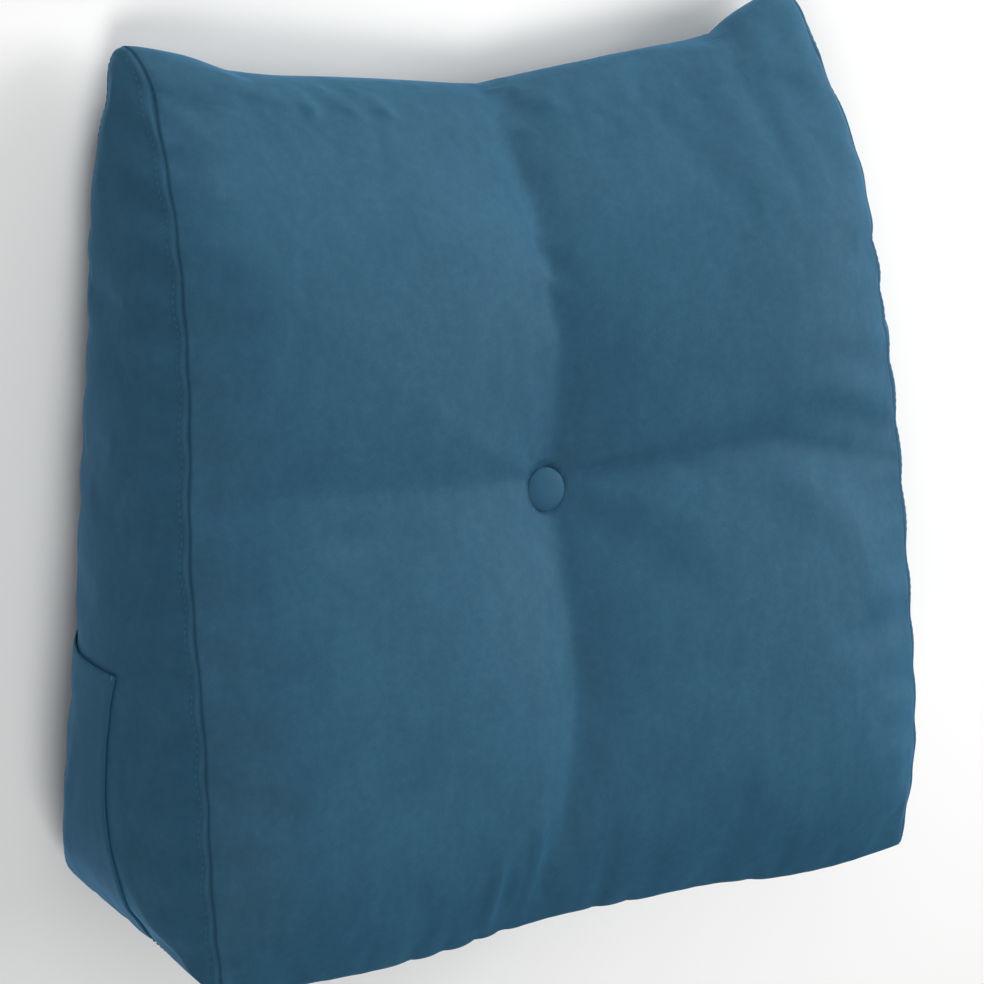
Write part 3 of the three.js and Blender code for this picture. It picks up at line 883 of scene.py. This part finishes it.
def pocket_layers(columns=46, rows=76):
    across = np.linspace(0, 1, columns + 1)[:, None]
    share_up = np.linspace(0, 1, rows + 1)[None, :]
    mouth = POCKET_MOUTH + POCKET_MOUTH_RISE * across
    up = POCKET_INSET + (mouth - POCKET_INSET) * share_up
    depth = side_row(up)["depth"]
    edge = along_table(POCKET_EDGE, "from_back", up)
    share = lerp(POCKET_INSET / depth, edge, across)
    points, outward = panel_places("left", *side_flat(up, share)[1:])
    from_edge = (edge - share) * depth
    from_mouth = mouth - up
    edge_hem = band(from_edge, 0, EDGE_HEM_RISE, EDGE_HEM - HEM_FALL, EDGE_HEM)
    mouth_hem = band(from_mouth, 0, MOUTH_HEM_RISE, MOUTH_HEM - HEM_FALL, MOUTH_HEM)
    puff = np.sin(np.pi * across) * np.sin(np.pi * share_up) ** 0.7
    from_crease = (share - CREASE_FROM_BACK) * depth - CREASE_LEAN * up
    crease = bell(from_crease, CREASE_WIDTH) * bell(up - CREASE_UP, CREASE_LENGTH)
    gape = MOUTH_GAPE * bell(from_mouth, MOUTH_GAPE_SPREAD) * np.sin(np.pi * across) ** 0.6
    lift = POCKET_GAP + POCKET_PUFF * puff + gape
    thickness = POCKET_THICKNESS + HEM_HEIGHT * np.maximum(edge_hem, mouth_hem)
    thickness = thickness + CREASE_HEIGHT * crease
    return tuple(points + outward * height[..., None] for height in (lift, lift + thickness))


def sheet_solid(name, inner, outer):
    """Closes an inner and an outer grid of points into one sheet with its rims."""
    rows, columns = inner.shape[:2]
    points = np.concatenate([inner.reshape(-1, 3), outer.reshape(-1, 3)])
    under = np.arange(rows * columns).reshape(rows, columns)
    over = under + rows * columns
    quads = [grid_faces(over), grid_faces(under.T)]
    for edge in (np.s_[:, 0], np.s_[::-1, -1], np.s_[0, ::-1], np.s_[-1]):
        low, high = under[edge], over[edge]
        quads.append(np.stack([low[:-1], low[1:], high[1:], high[:-1]], -1))
    return mesh_object(name, points, np.concatenate(quads).tolist())


pocket_inner, pocket_outer = pocket_layers()
pocket = sheet_solid("velvet_pocket", pocket_inner, pocket_outer)

# %% [markdown]
# ## The covered button
# A covered button is a metal shell wrapped in a disc of the same velvet, pressed into a back.
# From outside it is a shallow dome with a soft rolled edge. A lathe profile turned round its
# own axis makes it, and faint gathers at the rim show where the cloth is drawn round the shell.

# %% Turn the button
BUTTON_EDGE = 3.2
BUTTON_DOME = 2.6
BUTTON_GATHERS = 22
GATHER_DEPTH = 0.06
GATHER_TOP = 4
DOME_ROUNDING = 0.85  # below 1 the dome keeps its width longer before it closes
BUTTON_LIFT = 2.6  # how far the shell's back lies over the lowest cloth under it


def button_mesh(around=96):
    along_y, along_z = front_direction(float(BUTTON_UP))
    normal = np.array([0, -along_z, along_y])
    side = np.array([1.0, 0, 0])
    other = np.cross(normal, side)
    turns = np.linspace(0, np.pi / 2, 16)[:-1]
    dome = zip(np.cos(turns) ** DOME_ROUNDING, BUTTON_EDGE + BUTTON_DOME * np.sin(turns))
    profile = [(0.6, 0), (0.93, 0.1), (0.99, 0.9), (1, 1.9), *dome]
    angles = np.arange(around) * 2 * np.pi / around
    rings = []
    for radius, height in profile:
        drawn = GATHER_DEPTH * (np.cos(angles * BUTTON_GATHERS) + 1) * (height < GATHER_TOP)
        reach = ((BUTTON_RADIUS - drawn) * radius)[:, None]
        outward = np.cos(angles)[:, None] * side + np.sin(angles)[:, None] * other
        rings.append(normal * height + reach * outward)
    points = np.concatenate([[normal * 0], *rings, [normal * (BUTTON_EDGE + BUTTON_DOME)]])
    half = side_row(BUTTON_UP)["front_half"]
    points = points + front_point(BUTTON_X / half, BUTTON_UP, START_CROWN) + normal * BUTTON_LIFT
    starts = [1 + ring * around for ring in range(len(rings))]
    faces = []
    for step in range(around):
        after = (step + 1) % around
        faces.append((0, 1 + after, 1 + step))
        for low, high in zip(starts, starts[1:]):
            faces.append((low + step, low + after, high + after, high + step))
        faces.append((starts[-1] + step, starts[-1] + after, len(points) - 1))
    return mesh_object("velvet_button", points, faces)


button = button_mesh()
print("button:", len(button.data.polygons), "faces")

# %% [markdown]
# ## Stitches
# Topstitching is one thread that dives through the cloth and comes up again every few
# millimetres. Geometry Nodes suit it: the tree turns a stitch path into a curve, spaces points
# along it, and sets one small thread bead on each, turned along the path and lying on the
# cloth. Changing the pitch then changes every stitch. A painted line would look flat up close.

# %% Build the stitch tree
SEAM_STITCH = {
    "Stitch pitch": 0.0042,
    "Stitch length": 0.0031,
    "Thread width": 0.0008,
    "Thread height": 0.0007,
}
BAR_TACK = {
    "Stitch pitch": 0.0005,
    "Stitch length": 0.0007,
    "Thread width": 0.0016,
    "Thread height": 0.0013,
}


def set_inputs(node, **values):
    """Sets a node's inputs, each named with low lines where the socket's own name has spaces."""
    for name, value in values.items():
        node.inputs[name.replace("_", " ")].default_value = value


def wire(tree, *wires):
    for source, output, target, entry in wires:
        tree.links.new(source.outputs[output], target.inputs[entry])


def node_material(name):
    material = bpy.data.materials.new(name)
    material.use_nodes = True
    return material, material.node_tree.nodes["Principled BSDF"]


thread, thread_shader = node_material("sewing_thread")


def stitch_tree():
    tree = bpy.data.node_groups.new("topstitching", "GeometryNodeTree")
    new, sockets = tree.nodes.new, tree.interface.new_socket
    sockets("Geometry", in_out="INPUT", socket_type="NodeSocketGeometry")
    for name, size in SEAM_STITCH.items():
        sockets(name, in_out="INPUT", socket_type="NodeSocketFloat").default_value = size
    sockets("Geometry", in_out="OUTPUT", socket_type="NodeSocketGeometry")
    given = new("NodeGroupInput")
    path = new("GeometryNodeMeshToCurve")
    spaced_path = new("GeometryNodeResampleCurve")
    spaced_path.mode = "LENGTH"
    tangent = new("GeometryNodeInputTangent")
    outward = new("GeometryNodeInputNamedAttribute")
    outward.data_type = "FLOAT_VECTOR"
    set_inputs(outward, Name="outward")
    along = new("FunctionNodeAlignRotationToVector")
    along.axis = "X"
    upright = new("FunctionNodeAlignRotationToVector")
    upright.axis = "Z"
    upright.pivot_axis = "X"
    bead = new("GeometryNodeMeshUVSphere")
    set_inputs(bead, Segments=8, Rings=6, Radius=0.5)
    size = new("ShaderNodeCombineXYZ")
    set_points = new("GeometryNodeInstanceOnPoints")
    real = new("GeometryNodeRealizeInstances")
    finish = new("GeometryNodeSetMaterial")
    set_inputs(finish, Material=thread)
    result = new("NodeGroupOutput")
    wire(
        tree,
        (given, "Geometry", path, "Mesh"),
        (path, "Curve", spaced_path, "Curve"),
        (given, "Stitch pitch", spaced_path, "Length"),
        (spaced_path, "Curve", set_points, "Points"),
        (bead, "Mesh", set_points, "Instance"),
        (tangent, "Tangent", along, "Vector"),
        (along, "Rotation", upright, "Rotation"),
        (outward, "Attribute", upright, "Vector"),
        (upright, "Rotation", set_points, "Rotation"),
        (given, "Stitch length", size, "X"),
        (given, "Thread width", size, "Y"),
        (given, "Thread height", size, "Z"),
        (size, "Vector", set_points, "Scale"),
        (set_points, "Instances", real, "Geometry"),
        (real, "Geometry", finish, "Geometry"),
        (finish, "Geometry", result, "Geometry"),
    )
    return tree


STITCHES = stitch_tree()
print("stitch tree:", len(STITCHES.nodes), "nodes, sizes", sorted(SEAM_STITCH))

# %% [markdown]
# ## Where the stitches run
# One row goes round each side panel, in a shallow groove in the felled band. Its path is the
# seam's outline moved inward, with the points dropped that would come nearer to another side.
# The hems of the pocket show no stitches, only a short bar tack at the front of its mouth.

# %% Sew the rows
STITCH_LIFT = -0.05


def inset_outline(distance):
    along = np.roll(OUTLINE, -1, axis=0) - np.roll(OUTLINE, 1, axis=0)
    along /= np.linalg.norm(along, axis=1, keepdims=True)
    inward = np.stack([-along[:, 1], along[:, 0]], -1)
    if (inward * (OUTLINE.mean(0) - OUTLINE)).sum() < 0:
        inward = -inward
    moved = OUTLINE + inward * distance
    kept = distance_to_seam(moved[:, 0], moved[:, 1]) > distance - 0.15
    return moved[kept]


def stitch_row(name, points, outward, sizes, closed=True):
    count = len(points)
    edges = [(step, (step + 1) % count) for step in range(count if closed else count - 1)]
    path = mesh_object(name + "_path", points + outward * STITCH_LIFT, [], edges)
    facing = path.data.attributes.new("outward", "FLOAT_VECTOR", "POINT")
    facing.data.foreach_set("vector", outward.ravel())
    sewing = path.modifiers.new("stitches", "NODES")
    sewing.node_group = STITCHES
    for item in STITCHES.interface.items_tree:
        if item.in_out == "INPUT" and item.name in sizes:
            sewing[item.identifier] = sizes[item.name]
    found = path.evaluated_get(bpy.context.evaluated_depsgraph_get())
    sewn = in_scene(name, bpy.data.meshes.new_from_object(found))
    sewn.data.polygons.foreach_set("use_smooth", np.ones(len(sewn.data.polygons), bool))
    bpy.data.objects.remove(path)
    print(name, "has", len(sewn.data.polygons) // 48, "stitches")
    return sewn


groove = inset_outline(STITCH_DISTANCE)
stitch_rows = []
for panel in ("left", "right"):
    row_points, row_outward = panel_places(panel, groove[:, 0], groove[:, 1])
    stitch_rows.append(stitch_row(panel + "_seam_stitches", row_points, row_outward, SEAM_STITCH))

tack_line = pocket_outer[-2, -2:]
tack_outward = tack_line - pocket_inner[-2, -2:]
tack_outward /= np.linalg.norm(tack_outward, axis=-1, keepdims=True)
tack = stitch_row("pocket_bar_tack", tack_line, tack_outward, BAR_TACK, closed=False)
stitch_rows.append(tack)

# %% [markdown]
# ## The velvet
# Velvet is short pile standing on a backing. It looks dark where you look straight down into the
# pile and light where you see its sides, which is what the sheen of the shader does. Pile that
# was brushed or pressed leaves soft lighter and darker marks. A node group makes these marks for
# all the velvet pieces: soft marks as wide as a hand, short strokes, a small mottle and fine
# grain. It also darkens the colour by the painted shade of the seams, stitch grooves and button.

# %% Nap of the velvet
NAP_COLOURS = ((0.007, 0.032, 0.058, 1), (0.0228, 0.0785, 0.1295, 1), (0.04, 0.134, 0.216, 1))


def velvet_nap():
    nap = bpy.data.node_groups.new("velvet_nap", "ShaderNodeTree")
    sockets = nap.interface.new_socket
    sockets("Vector", in_out="INPUT", socket_type="NodeSocketVector")
    for name, value in {"Painted shade": 0.0, "Mark strength": 0.5, "Grain size": 1400.0}.items():
        sockets(name, in_out="INPUT", socket_type="NodeSocketFloat").default_value = value
    sockets("Colour", in_out="OUTPUT", socket_type="NodeSocketColor")
    sockets("Height", in_out="OUTPUT", socket_type="NodeSocketFloat")
    sockets("Roughness", in_out="OUTPUT", socket_type="NodeSocketFloat")
    new, link = nap.nodes.new, nap.links.new
    given, result = new("NodeGroupInput"), new("NodeGroupOutput")

    def noise(scale, detail, placed=given):
        texture = new("ShaderNodeTexNoise")
        set_inputs(texture, Scale=scale, Detail=detail)
        link(placed.outputs["Vector"], texture.inputs["Vector"])
        return texture.outputs["Fac"]

    def combine(operation, first, second):
        node = new("ShaderNodeMath")
        node.operation = operation
        for socket, value in zip(node.inputs, (first, second)):
            if isinstance(value, (int, float)):
                socket.default_value = value
            else:
                link(value, socket)
        return node.outputs[0]

    brushed = new("ShaderNodeMapping")
    set_inputs(brushed, Scale=(1.2, 0.45, 1), Rotation=(0, 0, 0.06))
    link(given.outputs["Vector"], brushed.inputs["Vector"])
    strokes, grain = noise(75, 4, brushed), noise(1400, 2)
    link(given.outputs["Grain size"], grain.node.inputs["Scale"])
    marks = -0.5
    for pattern, share in ((noise(11, 2), 0.3), (strokes, 0.35), (noise(230, 3), 0.35)):
        marks = combine("ADD", marks, combine("MULTIPLY", pattern, share))
    marks = combine("MULTIPLY", marks, given.outputs["Mark strength"])
    grained = combine("MULTIPLY", combine("SUBTRACT", grain, 0.5), 0.2)
    lightness = combine("ADD", combine("ADD", marks, grained), 0.5)
    # Painted shade: the colour is darkened where the cover's painted shade attribute is high.
    lightness = combine("SUBTRACT", lightness, combine("MULTIPLY", given.outputs["Painted shade"], 0.3))
    ramp = new("ShaderNodeValToRGB")
    ramp.color_ramp.elements.new(0.5)
    for element, colour in zip(ramp.color_ramp.elements, NAP_COLOURS):
        element.color = colour
    link(lightness, ramp.inputs["Fac"])
    link(ramp.outputs["Color"], result.inputs["Colour"])
    link(combine("ADD", grain, combine("MULTIPLY", strokes, 0.6)), result.inputs["Height"])
    link(combine("ADD", combine("MULTIPLY", marks, -0.3), 0.56), result.inputs["Roughness"])
    return nap


VELVET_NAP = velvet_nap()
print("velvet nap nodes:", len(VELVET_NAP.nodes))

# %% [markdown]
# ## Velvet and thread materials
# The shader itself stays in each material. Its sheen makes the light rim that velvet has where
# it turns away from you. Object coordinates carry the nap, because every piece lies at the
# origin, and so the marks run on from the cover to the pocket as they do on one bolt of cloth.
# The thread is a twist of two shades; the bar tack is painted paler, as a painted highlight.

# %% Make the materials
SHEEN_TINT = (0.04, 0.44, 0.92, 1)
THREAD_COLOUR = (0.025, 0.090, 0.148)
# how much paler the bar tack's thread is painted, a painted highlight
TACK_HIGHLIGHT_PAINT = 1.7


def velvet_material(name, mark_strength, grain_size, bump_height):
    material, shader = node_material(name)
    set_inputs(shader, Sheen_Weight=0.27, Sheen_Roughness=0.4, Sheen_Tint=SHEEN_TINT)
    set_inputs(shader, Specular_IOR_Level=0.07)
    new = material.node_tree.nodes.new
    place = new("ShaderNodeTexCoord")
    # Reads the cover's painted shade, which darkens the velvet's colour.
    painted_shade_node = new("ShaderNodeAttribute")
    painted_shade_node.attribute_name = "painted_shade"
    nap = new("ShaderNodeGroup")
    nap.node_tree = VELVET_NAP
    set_inputs(nap, Mark_strength=mark_strength, Grain_size=grain_size)
    bump = new("ShaderNodeBump")
    set_inputs(bump, Strength=0.22, Distance=bump_height)
    wire(
        material.node_tree,
        (place, "Object", nap, "Vector"),
        (painted_shade_node, "Fac", nap, "Painted shade"),
        (nap, "Colour", shader, "Base Color"),
        (nap, "Roughness", shader, "Roughness"),
        (nap, "Height", bump, "Height"),
        (bump, "Normal", shader, "Normal"),
    )
    return material


COVER_VELVET = velvet_material("cover_velvet", 0.65, 1400, 0.0004)
BUTTON_VELVET = velvet_material("button_velvet", 0.35, 1600, 0.0003)
for piece, material in ((cover, COVER_VELVET), (pocket, COVER_VELVET), (button, BUTTON_VELVET)):
    piece.data.materials.append(material)


def paint_thread(ramp, strength=1.0):
    """Gives a thread's colour ramp a dark and a light shade of the thread's colour."""
    for element, shade in zip(ramp.color_ramp.elements, (0.6, 1.5)):
        element.color = [strength * shade * part for part in THREAD_COLOUR] + [1]


new = thread.node_tree.nodes.new
place, twist = new("ShaderNodeTexCoord"), new("ShaderNodeTexNoise")
twist_colour, twist_bump = new("ShaderNodeValToRGB"), new("ShaderNodeBump")
paint_thread(twist_colour)
set_inputs(thread_shader, Specular_IOR_Level=0.15, Roughness=0.62)
set_inputs(twist, Scale=2200)
set_inputs(twist_bump, Distance=0.0002)
wire(
    thread.node_tree,
    (place, "Object", twist, "Vector"),
    (twist, "Fac", twist_colour, "Fac"),
    (twist_colour, "Color", thread_shader, "Base Color"),
    (twist, "Fac", twist_bump, "Height"),
    (twist_bump, "Normal", thread_shader, "Normal"),
)
# The bar tack gets a copy of the thread painted paler, a painted highlight on its thread.
painted_highlight_thread = thread.copy()
painted_highlight_thread.name = "painted_highlight_sewing_thread"
paint_thread(painted_highlight_thread.node_tree.nodes[twist_colour.name], TACK_HIGHLIGHT_PAINT)
for slot in range(len(tack.data.materials)):
    tack.data.materials[slot] = painted_highlight_thread
print("materials:", sorted(material.name for material in bpy.data.materials))

# %% [markdown]
# ## Floor and light
# The floor is plain and pale. Three large soft lights stand at the right, at the upper right and
# above the picture, so the left flank of every lobe, the side panel and the base turn dark as
# in the photograph. A light from low in front, a weak one near the camera and the dim pale
# world keep the shadows open.

# %% Set the floor and the lights
FLOOR_REACH = 4.0
LIGHT_SIZE = 1.2
LIGHTS = table(  # places in metres from the cushion, along the picture's own axes
    "name right up near watts",
    ("key_light", 2.2, 0.3, 0.0, 37),
    ("upper_light", 1.7, 1.4, 0.1, 17),
    ("top_light", 0.4, 2.1, 0.7, 38),
    ("low_light", 0.3, -1.4, 1.9, 31),
    ("near_light", 0.2, 0.3, 2.3, 10),
)

floor_mesh = bpy.data.meshes.new("studio_floor")
corners = [(x * FLOOR_REACH, y * FLOOR_REACH, 0) for x, y in ((-1, -1), (1, -1), (1, 1), (-1, 1))]
floor_mesh.from_pydata(corners, [], [(0, 1, 2, 3)])
floor = in_scene("studio_floor", floor_mesh)
floor_material, floor_shader = node_material("pale_floor")
set_inputs(floor_shader, Base_Color=(0.86, 0.86, 0.85, 1), Roughness=0.9)
floor.data.materials.append(floor_material)

for row in LIGHTS:
    light = bpy.data.lights.new(row["name"], "AREA")
    light.size, light.energy = LIGHT_SIZE, row["watts"]
    lamp = in_scene(row["name"], light)
    away = PICTURE_RIGHT * row["right"] + PICTURE_UP * row["up"] + TO_CAMERA * row["near"]
    lamp.location = AIM + away
    lamp.rotation_euler = away.to_track_quat("Z", "Y").to_euler()
world = bpy.data.worlds.new("studio")
world.use_nodes = True
set_inputs(world.node_tree.nodes["Background"], Color=(0.9, 0.92, 0.95, 1), Strength=0.07)
bpy.context.scene.world = world
bpy.context.scene.view_settings.view_transform = "Standard"

# %% [markdown]
# ## Attaching the pieces
# Every piece rides on the one body, stands for its solid, and takes the velvet's finish.

# %% Ride and replace
for piece in (cover, pocket, button, *stitch_rows):
    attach(piece, "root")
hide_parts("cushion_body")
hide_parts("side_pocket")
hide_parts("tuft_button")
